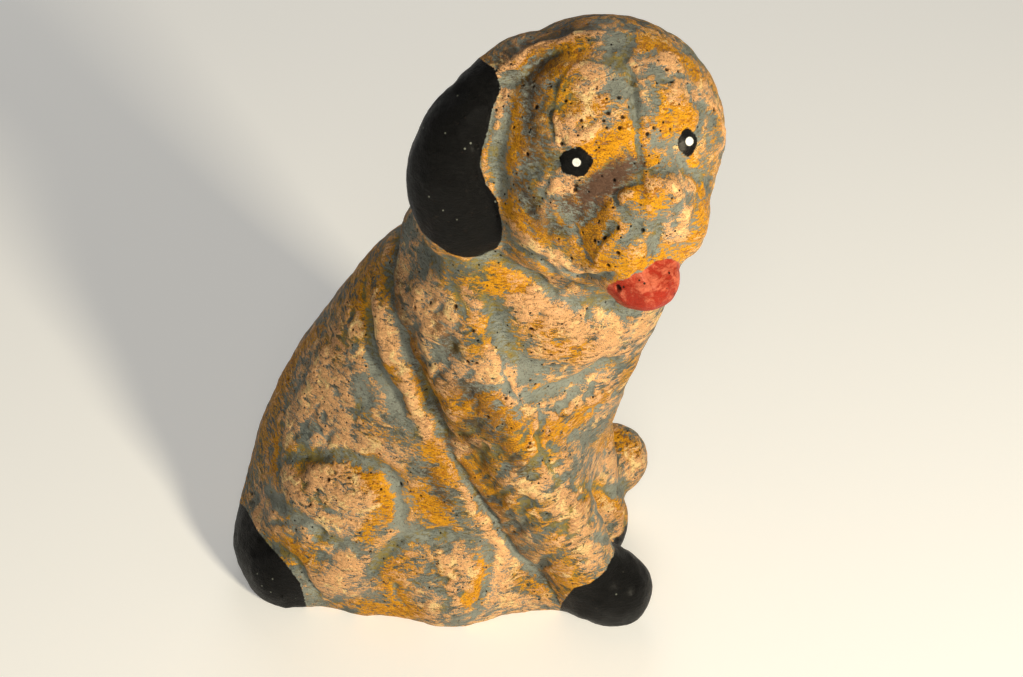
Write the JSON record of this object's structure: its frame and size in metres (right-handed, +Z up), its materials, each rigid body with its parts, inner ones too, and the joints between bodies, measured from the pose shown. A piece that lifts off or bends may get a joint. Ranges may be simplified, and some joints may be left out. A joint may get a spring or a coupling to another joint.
{
  "type": "dog statue",
  "caption": "Seated puppy garden figure, cast in one piece, head turned to its right with hanging ears and tongue out, flat underside.",
  "frame": {"origin": "a point of the flat underside, below the middle of the body, on the ground", "axes": "+Z up; the body faces -Y and the puppy's right side is -X"},
  "size_m": [0.1371, 0.213, 0.2819],
  "materials": {
    "painted_concrete": "satin"
  },
  "bodies": {
    "root": {"seated_puppy": "painted_concrete"}
  },
  "joints": []
}
